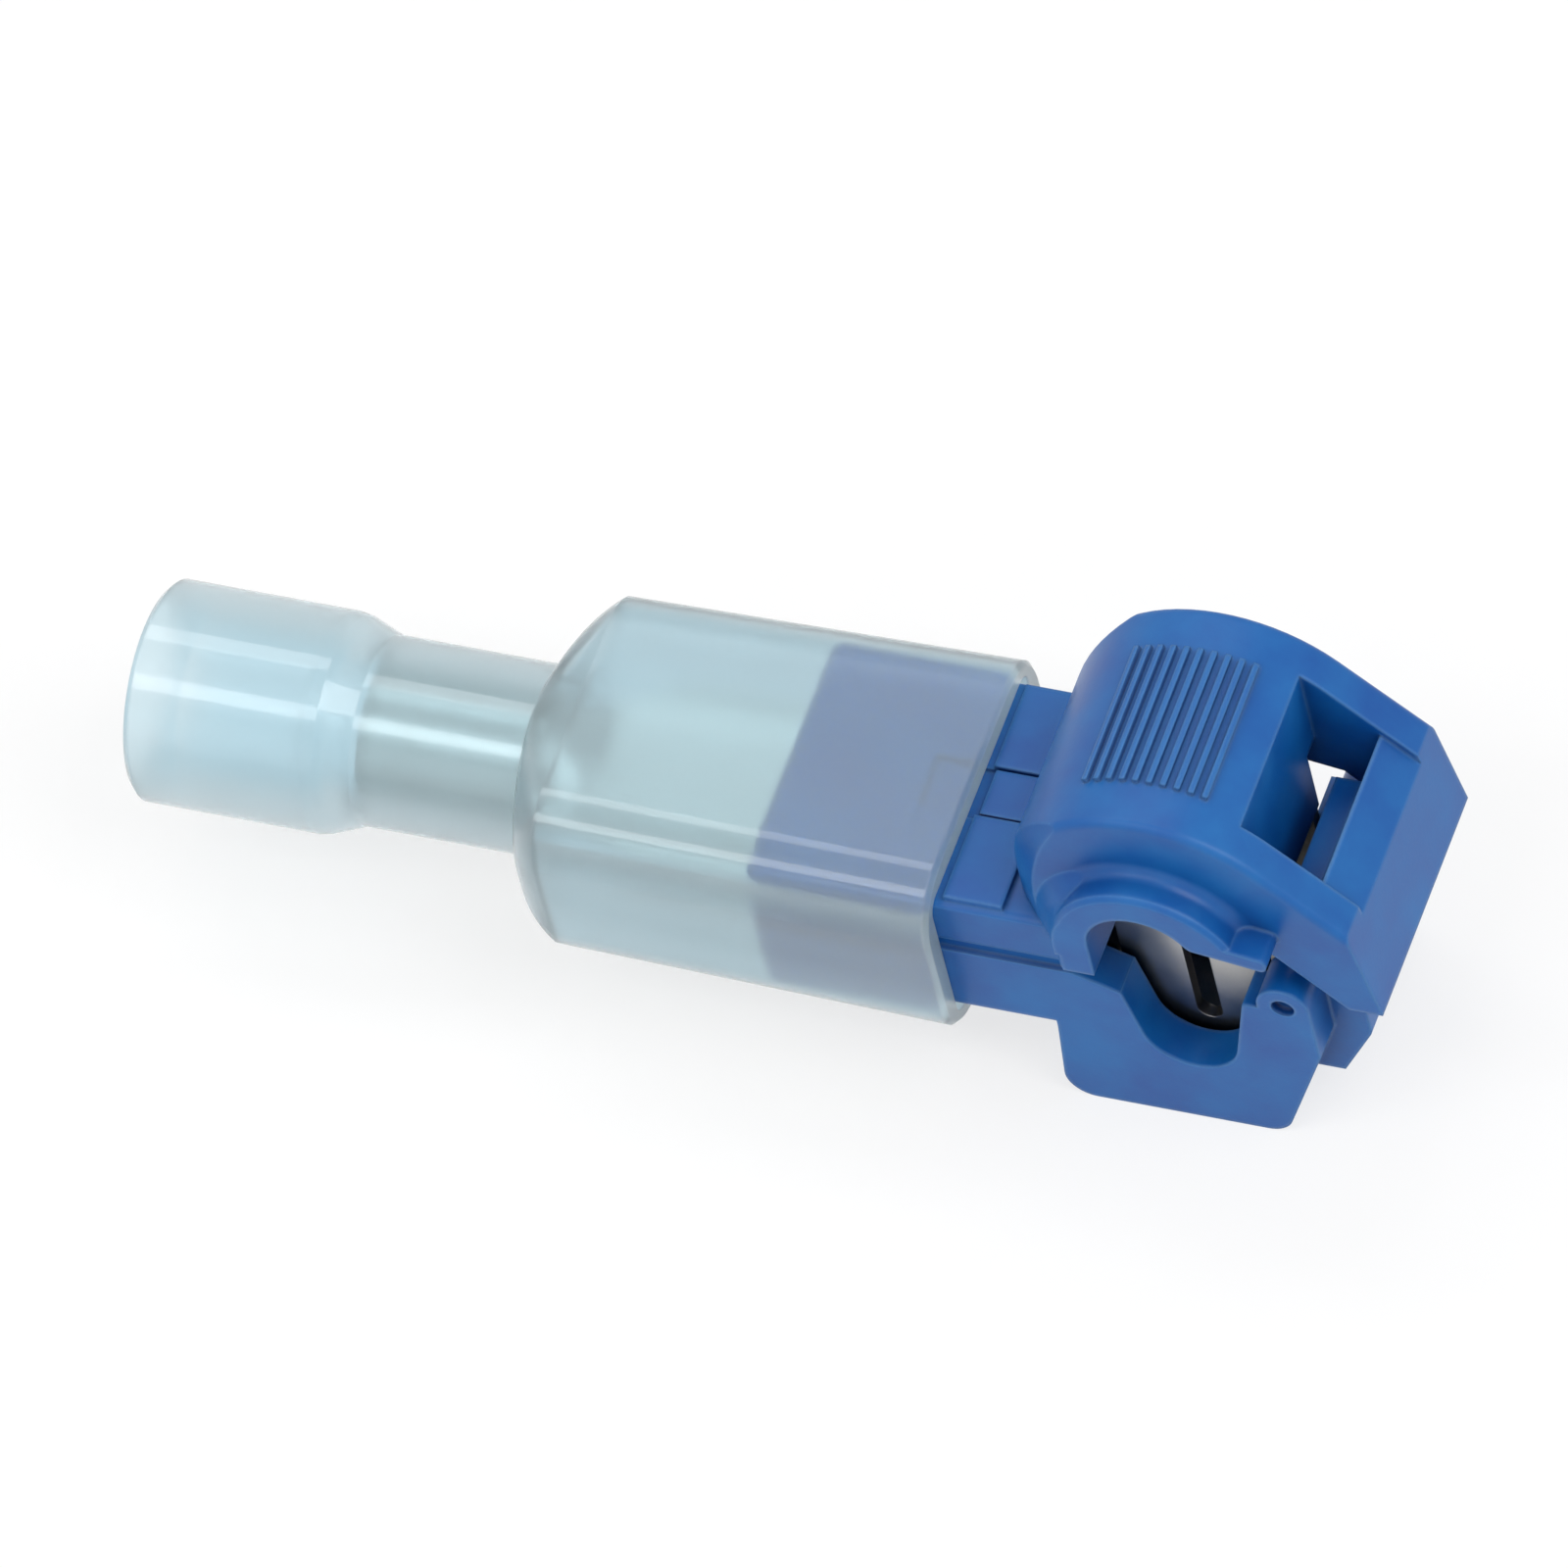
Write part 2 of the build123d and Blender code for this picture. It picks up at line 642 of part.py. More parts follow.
# Male terminal: tab, neck and crimp barrel
barrel_front_x = tab_plate_end_x - neck_length - transition_length
barrel_back_x = barrel_front_x - barrel_length
with BuildPart() as male_terminal:
    with BuildSketch(Plane.XY.offset(plug_axis_z - tab_thickness / 2)) as tab_outline:
        with BuildLine():
            tip_half = tab_width / 2 - tab_tip_chamfer / 2
            Polyline(
                (tab_tip_x, tip_half),
                (tab_tip_x - tab_tip_chamfer, tab_width / 2),
                (tab_plate_end_x, tab_width / 2),
                (tab_plate_end_x - neck_length, neck_width / 2),
                (tab_plate_end_x - neck_length, -neck_width / 2),
                (tab_plate_end_x, -tab_width / 2),
                (tab_tip_x - tab_tip_chamfer, -tab_width / 2),
                (tab_tip_x, -tip_half),
                close=True,
            )
        make_face()
        with Locations((tab_tip_x - tab_hole_setback, 0)):
            Circle(tab_hole_radius, mode=Mode.SUBTRACT)
    extrude(amount=tab_thickness)
    chamfer(male_terminal.faces().sort_by(Axis.X)[-1].edges().filter_by(Axis.Y), tab_tip_bevel)

    # From the flat neck to the round barrel
    with BuildSketch(Plane.YZ.offset(tab_plate_end_x - neck_length)):
        with Locations((0, plug_axis_z)):
            Rectangle(neck_width, tab_thickness)
    with BuildSketch(Plane.YZ.offset(barrel_front_x)):
        with Locations((0, plug_axis_z)):
            RectangleRounded(2 * barrel_radius, 2 * barrel_radius, barrel_radius * nearly_round)
    loft()
    with BuildSketch(Plane.YZ.offset(barrel_back_x)):
        with Locations((0, plug_axis_z)):
            Circle(barrel_radius)
    extrude(amount=barrel_length)
    with BuildSketch(Plane.YZ.offset(barrel_back_x)):
        with Locations((0, plug_axis_z)):
            Circle(barrel_bore_radius)
    extrude(amount=barrel_length, mode=Mode.SUBTRACT)

male_terminal.part.label = "male_terminal"
export_step(male_terminal.part, "parts/male_terminal.step")

# Ferrule round the crimp barrel
ferrule_inner_radius = barrel_radius + ferrule_clearance
ferrule_outer_radius = ferrule_inner_radius + ferrule_wall
with BuildPart() as crimp_ferrule:
    with BuildSketch(Plane.YZ.offset(barrel_back_x - ferrule_overhang)):
        with Locations((0, plug_axis_z)):
            Circle(ferrule_outer_radius)
            Circle(ferrule_inner_radius, mode=Mode.SUBTRACT)
    extrude(amount=barrel_length)

crimp_ferrule.part.label = "crimp_ferrule"
export_step(crimp_ferrule.part, "parts/crimp_ferrule.step")

# Disconnect sleeve
mouth_width = body_width + 2 * (mouth_clearance + shell_wall)
mouth_height = housing_height + 2 * (mouth_clearance + shell_wall)
shell_back_width = mouth_width - shell_taper_width
shell_back_height = mouth_height - shell_taper_height
shell_back_x = mouth_x - shell_length
grip_front_x = shell_back_x - flare_length
grip_back_x = grip_front_x - grip_length
funnel_front_x = grip_back_x - step_length
funnel_back_x = funnel_front_x - funnel_length
seat_radius = ferrule_outer_radius + ferrule_clearance
shell_inner_radius = housing_corner_radius + mouth_clearance / 2
plug_axis = Axis((0, 0, plug_axis_z), (1, 0, 0))
with BuildPart() as disconnect_sleeve:
    # Shell round the housing, wider at its mouth
    with BuildSketch(Plane.YZ.offset(shell_back_x)):
        with Locations((0, plug_axis_z)):
            RectangleRounded(shell_back_width, shell_back_height, shell_corner_radius)
    with BuildSketch(Plane.YZ.offset(mouth_x)):
        with Locations((0, plug_axis_z)):
            RectangleRounded(mouth_width, mouth_height, shell_corner_radius)
    loft()
    chamfer(disconnect_sleeve.faces().sort_by(Axis.X)[-1].edges(), mouth_edge_chamfer)
    # Flare from the grip to the shell, with a round shoulder
    with BuildSketch(Plane.YZ.offset(grip_front_x)):
        with Locations((0, plug_axis_z)):
            RectangleRounded(2 * grip_radius, 2 * grip_radius, grip_radius * nearly_round)
    with BuildSketch(Plane.YZ.offset(shell_back_x - flare_shoulder_length)):
        with Locations((0, plug_axis_z)):
            RectangleRounded(flare_shoulder_width, flare_shoulder_height, flare_shoulder_radius)
    with BuildSketch(Plane.YZ.offset(shell_back_x)):
        with Locations((0, plug_axis_z)):
            RectangleRounded(shell_back_width, shell_back_height, shell_corner_radius)
    loft()
    # Grip and funnel
    with BuildSketch(Plane.XZ) as funnel_outline:
        with BuildLine():
            Polyline(
                (grip_front_x, plug_axis_z),
                (grip_front_x, plug_axis_z + grip_radius),
                (grip_back_x, plug_axis_z + grip_radius),
                (funnel_front_x, plug_axis_z + funnel_radius),
                (funnel_back_x, plug_axis_z + funnel_radius),
                (funnel_back_x, plug_axis_z),
                close=True,
            )
        make_face()
        chamfer(funnel_outline.vertices().group_by(Axis.Y)[-1], funnel_edge_chamfer)
    revolve(axis=plug_axis)

    # Inside of the shell and of the flare
    with BuildSketch(Plane.YZ.offset(shell_back_x)):
        with Locations((0, plug_axis_z)):
            RectangleRounded(
                shell_back_width - 2 * shell_wall, shell_back_height - 2 * shell_wall,
                shell_inner_radius,
            )
    with BuildSketch(Plane.YZ.offset(mouth_x)):
        with Locations((0, plug_axis_z)):
            RectangleRounded(
                mouth_width - 2 * shell_wall, mouth_height - 2 * shell_wall,
                shell_inner_radius,
            )
    loft(mode=Mode.SUBTRACT)
    with BuildSketch(Plane.YZ.offset(grip_front_x)):
        with Locations((0, plug_axis_z)):
            RectangleRounded(2 * seat_radius, 2 * seat_radius, seat_radius * nearly_round)
    with BuildSketch(Plane.YZ.offset(shell_back_x)):
        with Locations((0, plug_axis_z)):
            RectangleRounded(
                shell_back_width - 2 * shell_wall, shell_back_height - 2 * shell_wall,
                shell_inner_radius,
            )
    loft(mode=Mode.SUBTRACT)
    # Seat of the ferrule, bore and flared mouth of the funnel
    with BuildSketch(Plane.XZ):
        with BuildLine():
            Polyline(
                (grip_front_x, plug_axis_z),
                (grip_front_x, plug_axis_z + seat_radius),
                (funnel_front_x, plug_axis_z + seat_radius),
                (funnel_front_x - funnel_cone_length, plug_axis_z + funnel_bore_radius),
                (funnel_back_x + funnel_mouth_length, plug_axis_z + funnel_bore_radius),
                (funnel_back_x, plug_axis_z + funnel_mouth_radius),
                (funnel_back_x, plug_axis_z),
                close=True,
            )
        make_face()
    revolve(axis=plug_axis, mode=Mode.SUBTRACT)

disconnect_sleeve.part.label = "disconnect_sleeve"
export_step(disconnect_sleeve.part, "parts/disconnect_sleeve.step")
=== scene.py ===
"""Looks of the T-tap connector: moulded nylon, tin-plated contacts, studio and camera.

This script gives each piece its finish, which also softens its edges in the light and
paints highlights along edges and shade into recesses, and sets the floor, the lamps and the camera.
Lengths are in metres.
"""

from __future__ import annotations

import logging
import math
from abc import ABC, abstractmethod
from dataclasses import dataclass, field
from enum import Enum
from typing import Any

import bpy
from mathutils import Matrix, Vector

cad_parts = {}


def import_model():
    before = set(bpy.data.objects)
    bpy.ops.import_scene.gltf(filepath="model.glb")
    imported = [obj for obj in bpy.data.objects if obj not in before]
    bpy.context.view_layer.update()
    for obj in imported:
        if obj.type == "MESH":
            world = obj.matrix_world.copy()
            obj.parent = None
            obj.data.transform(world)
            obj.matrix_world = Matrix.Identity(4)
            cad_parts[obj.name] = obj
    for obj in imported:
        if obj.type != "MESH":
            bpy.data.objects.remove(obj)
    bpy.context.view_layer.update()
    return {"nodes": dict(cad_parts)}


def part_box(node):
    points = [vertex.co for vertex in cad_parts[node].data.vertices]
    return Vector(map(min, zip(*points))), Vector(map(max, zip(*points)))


log = logging.getLogger("t_tap")

MM = 0.001

NOISE_ROUGHNESS = 0.55
RAY_SAMPLES = 5
MIX_FIRST, MIX_SECOND, MIX_RESULT = 6, 7, 2

Colour = tuple[float, float, float, float]


def colour(red: float, green: float, blue: float) -> Colour:
    """Give an opaque colour from its linear parts."""
    return (red, green, blue, 1.0)


WHITE = colour(1.0, 1.0, 1.0)


def direction(azimuth: float, elevation: float) -> Vector:
    """Give the direction from the object towards a lamp or the camera.

    Args:
        azimuth: degrees round the object, 0 in front of it and 90 on its +X side.
        elevation: degrees above the floor.

    Returns:
        A unit vector.
    """
    turn, rise = math.radians(azimuth), math.radians(elevation)
    level = math.cos(rise)
    return Vector((math.sin(turn) * level, -math.cos(turn) * level, math.sin(rise)))


class Slot(Enum):
    """Material slots of the record."""

    BLUE = "blue_plastic"
    SLEEVE = "sleeve_plastic"
    TIN = "tinned_brass"


class Grain(Enum):
    """Ways in which a surface texture is drawn out."""

    EVEN = (1.0, 1.0, 1.0)
    ALONG_X = (0.12, 1.0, 1.0)


class Detail(Enum):
    """How many finer layers a noise texture has."""

    CLOUD = 4.0
    FLECK = 3.0
    GRAIN = 2.0


class Value:
    """A node's output, on which Python's operators add Math nodes."""

    def __init__(self, graph: Graph, socket: bpy.types.NodeSocket | None) -> None:
        """Keep the socket and the graph that it belongs to.

        Args:
            graph: the node graph that new nodes go into.
            socket: the output that this value stands for, or None for a closing node.
        """
        self.graph = graph
        self.socket = socket

    def _math(
        self,
        operation: str,
        first: Value | float,
        second: Value | float,
        clamp: bool = False,
    ) -> Value:
        """Add one Math node.

        Args:
            operation: the node's operation.
            first: its first input, a value or a number.
            second: its second input, a value or a number.
            clamp: whether the result is kept between 0 and 1.

        Returns:
            The node's result.
        """
        settings = {"operation": operation, "use_clamp": clamp}
        return self.graph.node("ShaderNodeMath", settings, {0: first, 1: second})

    def __add__(self, other: Value | float) -> Value:
        """Give this value plus another."""
        return self._math("ADD", self, other)

    def __radd__(self, other: float) -> Value:
        """Give a number plus this value."""
        return self._math("ADD", other, self)

    def __sub__(self, other: Value | float) -> Value:
        """Give this value less another."""
        return self._math("SUBTRACT", self, other)

    def __rsub__(self, other: float) -> Value:
        """Give a number less this value."""
        return self._math("SUBTRACT", other, self)

    def __mul__(self, other: Value | float) -> Value:
        """Give this value times another."""
        return self._math("MULTIPLY", self, other)

    def __rmul__(self, other: float) -> Value:
        """Give a number times this value."""
        return self._math("MULTIPLY", other, self)

    def clamped(self) -> Value:
        """Give this value kept between 0 and 1."""
        return self._math("ADD", self, 0.0, clamp=True)

    def contrast(self, gain: float) -> Value:
        """Draw this value apart about 0.5.

        Args:
            gain: how many times steeper it becomes.

        Returns:
            The steeper value, kept between 0 and 1.
        """
        return (self * gain - (gain - 1.0) / 2).clamped()


class Graph:
    """The node graph of one material or of the world."""

    def __init__(self, tree: bpy.types.NodeTree) -> None:
        """Clear a node tree and keep it.

        Args:
            tree: the node tree to fill.
        """
        self.tree = tree
        tree.nodes.clear()

    def node(
        self,
        kind: str,
        settings: dict[str, Any] | None = None,
        inputs: dict[str | int, Any] | None = None,
        out: str | int = 0,
    ) -> Value:
        """Add a node.

        Args:
            kind: the node's type.
            settings: its properties.
            inputs: a number, colour or value for each input that is set or linked.
            out: the output that is wanted.

        Returns:
            The wanted output as a value.
        """
        made = self.tree.nodes.new(kind)
        for name, setting in (settings or {}).items():
            setattr(made, name, setting)
        for name, given in (inputs or {}).items():
            if isinstance(given, Value):
                self.tree.links.new(given.socket, made.inputs[name])
            else:
                made.inputs[name].default_value = given
        return Value(self, made.outputs[out] if len(made.outputs) else None)

    def place(self, grain: Grain = Grain.EVEN) -> Value:
        """Give the piece's own coordinates.

        Args:
            grain: how they are drawn out.

        Returns:
            The coordinates.
        """
        own = self.node("ShaderNodeTexCoord", out="Object")
        return self.node(
            "ShaderNodeVectorMath", {"operation": "MULTIPLY"}, {0: own, 1: grain.value}
        )

    def noise(self, place: Value, size: float, detail: Detail) -> Value:
        """Add a noise texture.

        Args:
            place: the coordinates that it reads.
            size: the size of its spots in metres.
            detail: how many finer layers it has.

        Returns:
            Values from 0 to 1, mostly near 0.5.
        """
        inputs = {
            "Vector": place,
            "Scale": 1.0 / size,
            "Detail": detail.value,
            "Roughness": NOISE_ROUGHNESS,
        }
        return self.node("ShaderNodeTexNoise", {"noise_dimensions": "3D"}, inputs, out="Fac")

    def rounded(self, radius: float) -> Value:
        """Give the normal of the surface with its edges rounded.

        Args:
            radius: the radius that the edges seem to have, in metres.

        Returns:
            The normal.
        """
        return self.node("ShaderNodeBevel", {"samples": RAY_SAMPLES}, {"Radius": radius})

    def edge(self, rounded: Value, gain: float) -> Value:
        """Mask the outer and inner edges of a piece, where a highlight is painted.

        Args:
            rounded: the normal with rounded edges.
            gain: how quickly the mask rises.

        Returns:
            0 on flat stretches and up to 1 on edges.
        """
        flat = self.node("ShaderNodeNewGeometry", out="Normal")
        alike = self.node(
            "ShaderNodeVectorMath",
            {"operation": "DOT_PRODUCT"},
            {0: rounded, 1: flat},
            out="Value",
        )
        return ((1.0 - alike) * gain).clamped()

    def painted_shade_mask(self, reach: float, alone: bool) -> Value:
        """Tell open surfaces from recesses, where shade is painted.

        Args:
            reach: how far away a wall still closes a place in, in metres.
            alone: whether only the piece's own walls close it in.

        Returns:
            1 in the open and down to 0 in deep recesses.
        """
        settings = {"samples": RAY_SAMPLES, "only_local": alone}
        return self.node("ShaderNodeAmbientOcclusion", settings, {"Distance": reach}, out="AO")

    def mix(self, factor: Value, first: Value | Colour, second: Value | Colour) -> Value:
        """Mix two colours.

        Args:
            factor: 0 for the first colour, 1 for the second.
            first: a colour or a value.
            second: a colour or a value.

        Returns:
            The mixed colour.
        """
        inputs = {"Factor": factor, MIX_FIRST: first, MIX_SECOND: second}
        return self.node("ShaderNodeMix", {"data_type": "RGBA"}, inputs, out=MIX_RESULT)

    def bump(self, height: Value, strength: float, depth: float, rounded: Value) -> Value:
        """Add a bump over softly rounded edges.

        Args:
            height: the height to read.
            strength: how strongly it shows.
            depth: the height's full depth in metres.
            rounded: the normal with rounded edges.

        Returns:
            The bent normal.
        """
        return self.node(
            "ShaderNodeBump",
            None,
            {"Height": height, "Strength": strength, "Distance": depth, "Normal": rounded},
        )

    def looked_at(self) -> Value:
        """Tell rays that show the background from rays that bring its light.

        Returns:
            1 for rays from the camera, off gloss and through a clear wall, else 0.
        """
        camera, gloss, clear = (
            self.node("ShaderNodeLightPath", out=f"Is {ray} Ray")
            for ray in ("Camera", "Glossy", "Transmission")
        )
        return (camera + gloss + clear).clamped()


@dataclass(frozen=True)
class Finish(ABC):
    """A finish that becomes one material."""

    name: str

    @abstractmethod
    def surface(self, graph: Graph) -> Value:
        """Build the shader.

        Args:
            graph: the material's graph.

        Returns:
            The shader's output.
        """

    def make(self) -> bpy.types.Material:
        """Build the material.

        Returns:
            The material.
        """
        material = bpy.data.materials.new(self.name)
        material.use_nodes = True
        graph = Graph(material.node_tree)
        graph.node("ShaderNodeOutputMaterial", None, {"Surface": self.surface(graph)})
        log.info("finish %s has %d nodes", self.name, len(graph.tree.nodes))
        return material


@dataclass(frozen=True)
class MouldedNylon(Finish):
    """Blue moulded nylon with flow marks, a painted highlight along its edges and painted shade in
    its recesses.
    """

    name: str = "blue_nylon"
    base: Colour = colour(0.006, 0.126, 0.385)
    deep: Colour = colour(0.001, 0.068, 0.300)
    # painted shade: the dark colour mixed in where walls close a recess in
    painted_recess_shade: Colour = colour(0.002, 0.022, 0.130)
    # painted highlight: the paler blue laid along edges
    painted_edge_highlight: Colour = colour(0.120, 0.330, 0.680)
    edge_round: float = 0.20 * MM
    highlight_edge_gain: float = 3.2
    painted_highlight_share: float = 0.66
    painted_shade_reach: float = 1.6 * MM
    painted_shade_contrast: float = 1.5
    alone: bool = True
    flow_size: float = 2.6 * MM
    flow_contrast: float = 2.0
    grain_size: float = 0.12 * MM
    roughness: float = 0.27
    flow_roughness: float = 0.12
    grain_roughness: float = 0.06
    ior: float = 1.53
    specular_level: float = 0.32
    grain_height: float = 0.7
    flow_height: float = 0.3
    bump_strength: float = 0.16
    bump_depth: float = 0.02 * MM

    def surface(self, graph: Graph) -> Value:
        """Build the shader.

        Args:
            graph: the material's graph.

        Returns:
            The shader's output.
        """
        place = graph.place()
        flow = graph.noise(place, self.flow_size, Detail.CLOUD).contrast(self.flow_contrast)
        grain = graph.noise(place, self.grain_size, Detail.GRAIN)
        rounded = graph.rounded(self.edge_round)
        painted_shade_mask = graph.painted_shade_mask(self.painted_shade_reach, self.alone).contrast(self.painted_shade_contrast)
        # painted shade: the colour darkens towards recesses
        body = graph.mix(painted_shade_mask, self.painted_recess_shade, graph.mix(flow, self.deep, self.base))
        # painted highlight along the edges, weaker where recesses are shaded
        painted_highlight_mask = graph.edge(rounded, self.highlight_edge_gain) * painted_shade_mask * self.painted_highlight_share
        height = self.grain_height * grain + self.flow_height * flow
        shader = {
            "Base Color": graph.mix(painted_highlight_mask, body, self.painted_edge_highlight),
            "Roughness": self.roughness + self.flow_roughness * flow + self.grain_roughness * grain,
            "IOR": self.ior,
            "Specular IOR Level": self.specular_level,
            "Normal": graph.bump(height, self.bump_strength, self.bump_depth, rounded),
        }
        return graph.node("ShaderNodeBsdfPrincipled", None, shader, out="BSDF")


@dataclass(frozen=True)
class SleeveNylon(Finish):
    """Pale blue translucent nylon of the sleeve, with a painted highlight along its rims."""

    name: str = "sleeve_nylon"
    base: Colour = colour(0.61, 0.81, 0.88)
    milky: Colour = colour(0.75, 0.87, 0.92)
    # painted highlight: the near-white colour laid along the sleeve's edges
    painted_rim_highlight: Colour = colour(0.90, 0.97, 1.00)
    edge_round: float = 0.15 * MM
    highlight_edge_gain: float = 4.0
    cloud_size: float = 3.4 * MM
    grain_size: float = 0.2 * MM
    roughness: float = 0.30
    cloud_roughness: float = 0.08
    grain_roughness: float = 0.03
    ior: float = 1.45
    transmission: float = 0.94
    coat: float = 0.8
    coat_roughness: float = 0.06
    bump_strength: float = 0.10
    bump_depth: float = 0.03 * MM

    def surface(self, graph: Graph) -> Value:
        """Build the shader.

        Args:
            graph: the material's graph.

        Returns:
            The shader's output.
        """
        cloud = graph.noise(graph.place(Grain.ALONG_X), self.cloud_size, Detail.CLOUD)
        grain = graph.noise(graph.place(), self.grain_size, Detail.GRAIN)
        rounded = graph.rounded(self.edge_round)
        body = graph.mix(cloud, self.base, self.milky)
        shader = {
            # painted highlight along the sleeve's edges
            "Base Color": graph.mix(graph.edge(rounded, self.highlight_edge_gain), body, self.painted_rim_highlight),
            "Roughness": self.roughness + self.cloud_roughness * cloud + self.grain_roughness * grain,
            "IOR": self.ior,
            "Transmission Weight": self.transmission,
            "Coat Weight": self.coat,
            "Coat Roughness": self.coat_roughness,
            "Normal": graph.bump(cloud, self.bump_strength, self.bump_depth, rounded),
        }
        return graph.node("ShaderNodeBsdfPrincipled", None, shader, out="BSDF")


@dataclass(frozen=True)
class TinPlate(Finish):
    """Tin over brass sheet, with fine rolling lines, a dull bloom and painted shade in its recesses.
    """

    name: str = "tin_plate"
    bright: Colour = colour(0.68, 0.67, 0.64)
    dull: Colour = colour(0.50, 0.49, 0.46)
    # painted shade: the dark colour mixed in where walls close a recess in
    painted_recess_shade: Colour = colour(0.16, 0.15, 0.14)
    edge_round: float = 0.05 * MM
    painted_shade_reach: float = 3.0 * MM
    alone: bool = True
    bloom_size: float = 1.1 * MM
    line_size: float = 0.05 * MM
    roughness: float = 0.22
    bloom_roughness: float = 0.16
    line_roughness: float = 0.08
    bump_strength: float = 0.2
    bump_depth: float = 0.006 * MM

    def surface(self, graph: Graph) -> Value:
        """Build the shader.

        Args:
            graph: the material's graph.

        Returns:
            The shader's output.
        """
        bloom = graph.noise(graph.place(), self.bloom_size, Detail.CLOUD)
        lines = graph.noise(graph.place(Grain.ALONG_X), self.line_size, Detail.GRAIN)
        rounded = graph.rounded(self.edge_round)
        painted_shade_mask = graph.painted_shade_mask(self.painted_shade_reach, self.alone)
        plated = graph.mix(bloom, self.dull, self.bright)
        shader = {
            # painted shade: the metal darkens towards recesses
            "Base Color": graph.mix(painted_shade_mask, self.painted_recess_shade, plated),
            "Metallic": 1.0,
            "Roughness": self.roughness + self.bloom_roughness * bloom + self.line_roughness * lines,
            "Normal": graph.bump(lines, self.bump_strength, self.bump_depth, rounded),
        }
        return graph.node("ShaderNodeBsdfPrincipled", None, shader, out="BSDF")


@dataclass(frozen=True)
class Paper(Finish):
    """Pale floor that stays white to the camera and keeps the shadow."""

    name: str = "pale_floor"
    tone: Colour = colour(0.88, 0.88, 0.88)
    fleck: Colour = colour(0.92, 0.92, 0.92)
    fleck_size: float = 1.5 * MM
    lift: float = 0.72

    def surface(self, graph: Graph) -> Value:
        """Build the shader.

        Args:
            graph: the material's graph.

        Returns:
            The shader's output.
        """
        flecks = graph.noise(graph.place(), self.fleck_size, Detail.FLECK)
        paper = graph.mix(flecks, self.tone, self.fleck)
        matt = graph.node("ShaderNodeBsdfDiffuse", None, {"Color": paper})
        glow = graph.node("ShaderNodeEmission", None, {"Color": WHITE, "Strength": 1.0})
        share = graph.looked_at() * self.lift
        return graph.node("ShaderNodeMixShader", None, {0: share, 1: matt, 2: glow})


def dress(node: bpy.types.Object, finish: bpy.types.Material) -> None:
    """Give a node of the frame its finish.

    Args:
        node: the frame's object.
        finish: the material that it gets.
    """
    node.data.materials.clear()
    node.data.materials.append(finish)
    low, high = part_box(node.name)
    span = [round((top - bottom) / MM, 2) for bottom, top in zip(low, high)]
    log.info("piece %s: %s, %s mm", node.name, finish.name, span)


@dataclass
class Tap:
    """The tap's body and lid."""

    body: MouldedNylon = MouldedNylon()
    # the lid's painted shade also counts the walls of the other pieces
    lid: MouldedNylon = MouldedNylon(name="blue_nylon_lid", alone=False)

    def build(self, nodes: dict[str, bpy.types.Object]) -> None:
        """Dress the body and the lid.

        Args:
            nodes: the frame's objects by name.
        """
        dress(nodes["tap_body"], self.body.make())
        dress(nodes["tap_lid"], self.lid.make())


@dataclass
class Metalwork:
    """The slotted contact, the male terminal and the ferrule."""

    # the contact's painted shade also counts the walls of the pieces round it
    contact: TinPlate = TinPlate(name="tin_plate_contact", alone=False)
    plug: TinPlate = TinPlate()

    def build(self, nodes: dict[str, bpy.types.Object]) -> None:
        """Dress the metal pieces.

        Args:
            nodes: the frame's objects by name.
        """
        dress(nodes["tap_blade"], self.contact.make())
        plug_finish = self.plug.make()
        for name in ("male_terminal", "crimp_ferrule"):
            dress(nodes[name], plug_finish)


@dataclass
class Sleeve:
    """The see-through sleeve of the disconnect."""

    nylon: SleeveNylon = SleeveNylon()

    def build(self, nodes: dict[str, bpy.types.Object]) -> None:
        """Dress the sleeve.

        Args:
            nodes: the frame's objects by name.
        """
        dress(nodes["disconnect_sleeve"], self.nylon.make())


@dataclass(frozen=True)
class Softbox:
    """One area lamp that faces the connector, with its width along the connector."""

    name: str
    azimuth: float
    elevation: float
    width: float
    height: float
    power: float
    distance: float = 0.36

    def build(self, target: Vector) -> None:
        """Place the lamp.

        Args:
            target: the point that it faces.
        """
        lamp = bpy.data.lights.new(self.name, "AREA")
        lamp.shape = "RECTANGLE"
        lamp.size, lamp.size_y = self.width, self.height
        lamp.energy = self.power
        made = bpy.data.objects.new(self.name, lamp)
        bpy.context.scene.collection.objects.link(made)
        back = direction(self.azimuth, self.elevation)
        along = (Vector((1.0, 0.0, 0.0)) - back * back.x).normalized()
        turned = Matrix((along, back.cross(along), back)).transposed()
        made.matrix_world = Matrix.Translation(target + back * self.distance) @ turned.to_4x4()
        log.info("lamp %s at %.0f, %.0f degrees", self.name, self.azimuth, self.elevation)


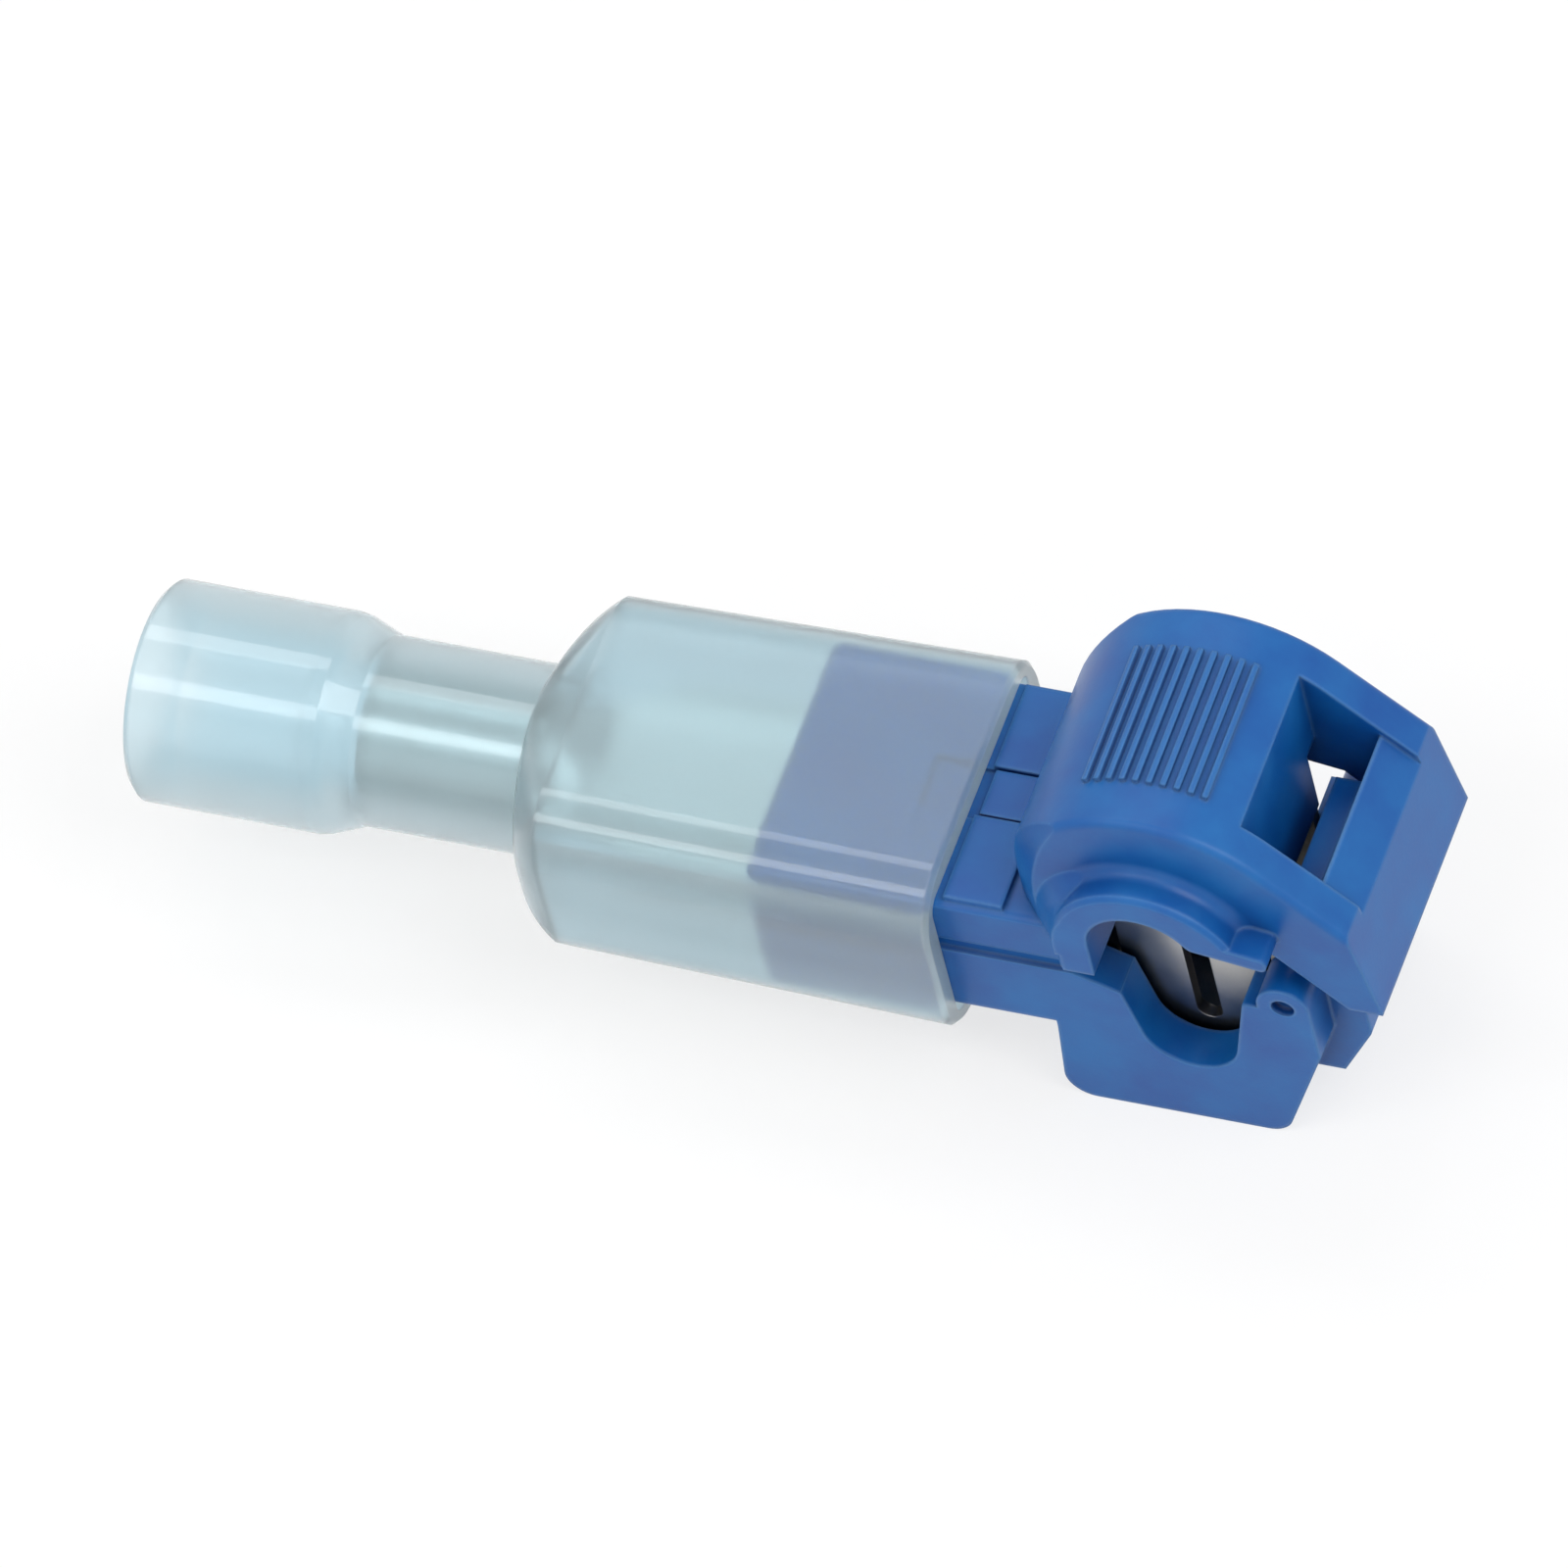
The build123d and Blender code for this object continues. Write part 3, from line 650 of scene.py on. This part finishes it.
@dataclass
class Studio:
    """Pale floor, soft lamps, world and camera."""

    target: Vector = field(default_factory=lambda: Vector((-13.6, 0.0, 7.0)) * MM)
    azimuth: float = 31.0
    elevation: float = 53.0
    roll: float = 15.13
    distance: float = 1.2
    view_width: float = 46.0 * MM
    sensor_mm: float = 36.0
    near_clip: float = 0.01
    far_clip: float = 10.0
    floor_size: float = 4.0
    ambient: float = 0.54
    paper: Paper = Paper()
    lamps: tuple[Softbox, ...] = (
        Softbox("front_strip", azimuth=-34.0, elevation=56.0, width=0.34, height=0.09, power=0.34),
        Softbox("rear_strip", azimuth=-140.0, elevation=61.0, width=0.34, height=0.08, power=0.24),
        Softbox(
            "right_fill",
            azimuth=80.0,
            elevation=52.0,
            width=0.26,
            height=0.22,
            power=0.70,
            distance=0.40,
        ),
        Softbox(
            "front_fill",
            azimuth=-5.0,
            elevation=14.0,
            width=0.34,
            height=0.30,
            power=0.16,
            distance=0.40,
        ),
    )

    def build(self) -> None:
        """Set up everything round the connector."""
        self.floor()
        self.world()
        for lamp in self.lamps:
            lamp.build(self.target)
        self.camera()
        bpy.context.scene.view_settings.view_transform = "Standard"

    def floor(self) -> None:
        """Lay the pale floor under the connector."""
        mesh = bpy.data.meshes.new("floor")
        half = self.floor_size / 2
        corners = [(-half, -half, 0), (half, -half, 0), (half, half, 0), (-half, half, 0)]
        mesh.from_pydata(corners, [], [(0, 1, 2, 3)])
        made = bpy.data.objects.new("floor", mesh)
        bpy.context.scene.collection.objects.link(made)
        mesh.materials.append(self.paper.make())

    def world(self) -> None:
        """Light the scene evenly and show white behind it."""
        world = bpy.data.worlds.new("studio")
        world.use_nodes = True
        bpy.context.scene.world = world
        graph = Graph(world.node_tree)
        soft = graph.node("ShaderNodeBackground", None, {"Color": WHITE, "Strength": self.ambient})
        white = graph.node("ShaderNodeBackground", None, {"Color": WHITE, "Strength": 1.0})
        surface = graph.node("ShaderNodeMixShader", None, {0: graph.looked_at(), 1: soft, 2: white})
        graph.node("ShaderNodeOutputWorld", None, {"Surface": surface})

    def camera(self) -> None:
        """Place the camera at the photograph's viewing angle."""
        data = bpy.data.cameras.new("camera")
        data.sensor_width = self.sensor_mm
        data.lens = self.sensor_mm * self.distance / self.view_width
        data.clip_start, data.clip_end = self.near_clip, self.far_clip
        made = bpy.data.objects.new("camera", data)
        bpy.context.scene.collection.objects.link(made)
        back = direction(self.azimuth, self.elevation)
        level = (-back).to_track_quat("-Z", "Y").to_matrix().to_4x4()
        turn = Matrix.Rotation(math.radians(-self.roll), 4, "Z")
        made.matrix_world = Matrix.Translation(self.target + back * self.distance) @ level @ turn
        bpy.context.scene.camera = made


def main() -> None:
    """Build the looks."""
    logging.basicConfig(level=logging.INFO, format="%(name)s: %(message)s")
    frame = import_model()
    nodes = frame["nodes"]
    Tap().build(nodes)
    Metalwork().build(nodes)
    Sleeve().build(nodes)
    Studio().build()


if __name__ == "__main__":
    main()
